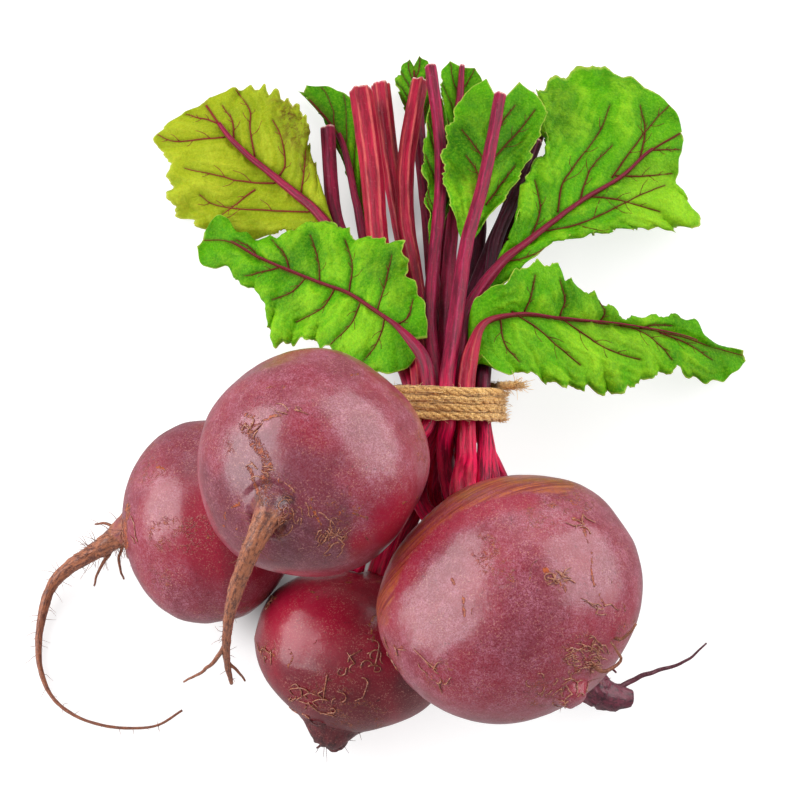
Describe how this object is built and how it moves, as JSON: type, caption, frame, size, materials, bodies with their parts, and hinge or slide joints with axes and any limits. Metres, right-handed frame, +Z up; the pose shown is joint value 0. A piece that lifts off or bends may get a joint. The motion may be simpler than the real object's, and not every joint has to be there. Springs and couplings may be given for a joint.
{
  "type": "bunch of beetroots",
  "caption": "Tied bunch of fresh beetroots lying down, with swollen roots, thin taproots, red leaf stalks, toothed leaves and a winding of natural twine.",
  "frame": {"origin": "on the surface that the bunch lies on, under the middle of its bounding box", "axes": "+Z up from the surface; the stalks and leaves run towards +Y and the roots lie towards -Y"},
  "size_m": [0.2469, 0.2539, 0.1288],
  "materials": {
    "skin_mauve": "matt waxy bloom over a fine corky skin",
    "skin_crimson": "smooth and slightly glossy skin",
    "skin_maroon": "dark slightly glossy skin",
    "stalk_magenta": "smooth moist stalk",
    "stalk_maroon": "smooth moist stalk",
    "stalk_ribbed": "ribbed stalk with pink ridges",
    "leaf_upper": "satin leaf with crimson veins",
    "leaf_underside": "satin yellow-green leaf with magenta veins",
    "twine": "dry twisted plant fibre"
  },
  "bodies": {
    "root": {"beet_left": "skin_mauve", "beet_front": "skin_crimson", "beet_rear": "skin_maroon", "beet_right": "skin_mauve", "beet_top": "skin_mauve", "stalk_middle": "stalk_magenta", "stalk_right_low": "stalk_ribbed", "stalk_left_low": "stalk_magenta", "stalk_cut_thick_left": "stalk_ribbed", "stalk_crimson_left": "stalk_magenta", "stalk_right_high": "stalk_magenta", "stalk_dark_right": "stalk_maroon", "stalk_left_high": "stalk_magenta", "stalk_cut_ribbed": "stalk_ribbed", "stalk_crimson_middle": "stalk_magenta", "stalk_dark_inner": "stalk_maroon", "stalk_dark_outer": "stalk_maroon", "stalk_magenta_left": "stalk_magenta", "stalk_cut_stub": "stalk_ribbed", "stalk_cut_back": "stalk_magenta", "stalk_dark_low": "stalk_maroon", "stalk_red_left": "stalk_magenta", "stalk_red_low": "stalk_magenta", "leaf_left_high": "leaf_underside", "leaf_left_low": "leaf_upper", "leaf_right_high": "leaf_upper", "leaf_right_low": "leaf_upper", "leaf_middle_cut": "leaf_upper", "leaf_folded": "leaf_upper", "leaf_top_cut": "leaf_upper", "leaf_back_cut": "leaf_upper", "leaf_left_tip": "leaf_upper", "twine": "twine"}
  },
  "joints": []
}
